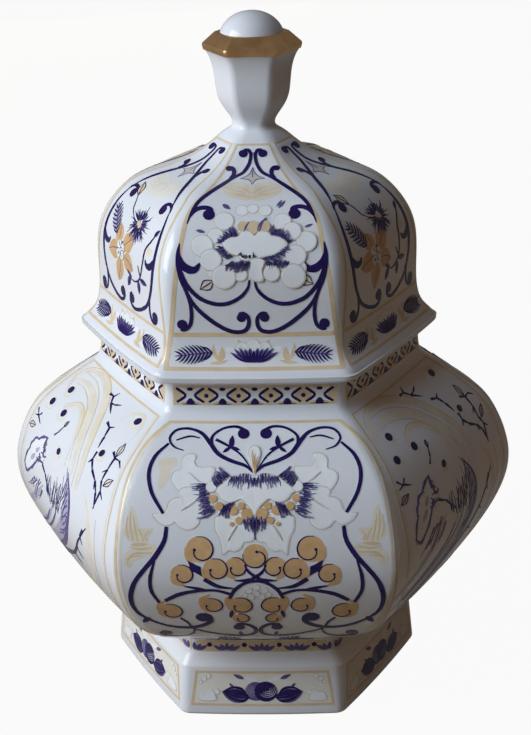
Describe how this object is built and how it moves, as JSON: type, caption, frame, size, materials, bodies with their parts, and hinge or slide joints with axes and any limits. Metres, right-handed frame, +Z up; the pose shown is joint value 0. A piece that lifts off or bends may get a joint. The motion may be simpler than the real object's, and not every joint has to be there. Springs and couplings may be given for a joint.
{
  "type": "potiche",
  "caption": "Lidded six-sided porcelain jar with a swelling belly, short neck, stepped hollow foot, domed lift-off lid with a flared lip, and a tall collared knob.",
  "frame": {"origin": "centre of the foot's underside, on the surface the jar stands on", "axes": "+Z up along the jar's axis; one of the six faces looks along -Y, and two of the ridges lie along +X and -X"},
  "size_m": [0.2252, 0.2014, 0.3],
  "materials": {
    "porcelain": "clear gloss glaze over cool white porcelain",
    "cobalt": "dark blue enamel print under gloss glaze",
    "beige": "beige enamel print under gloss glaze",
    "ochre": "ochre gold enamel print under gloss glaze",
    "gilt": "worn burnished gilding"
  },
  "bodies": {
    "jar": {"jar_body": "porcelain", "foot": "porcelain"},
    "lid": {"lid_dome": "porcelain", "lid_flange": "porcelain", "finial": "porcelain"}
  },
  "joints": [
    {"name": "lid_lift", "type": "slide", "parent": "jar", "child": "lid", "axis": [0, 0, 1], "range_m": [0, 0.16]}
  ]
}
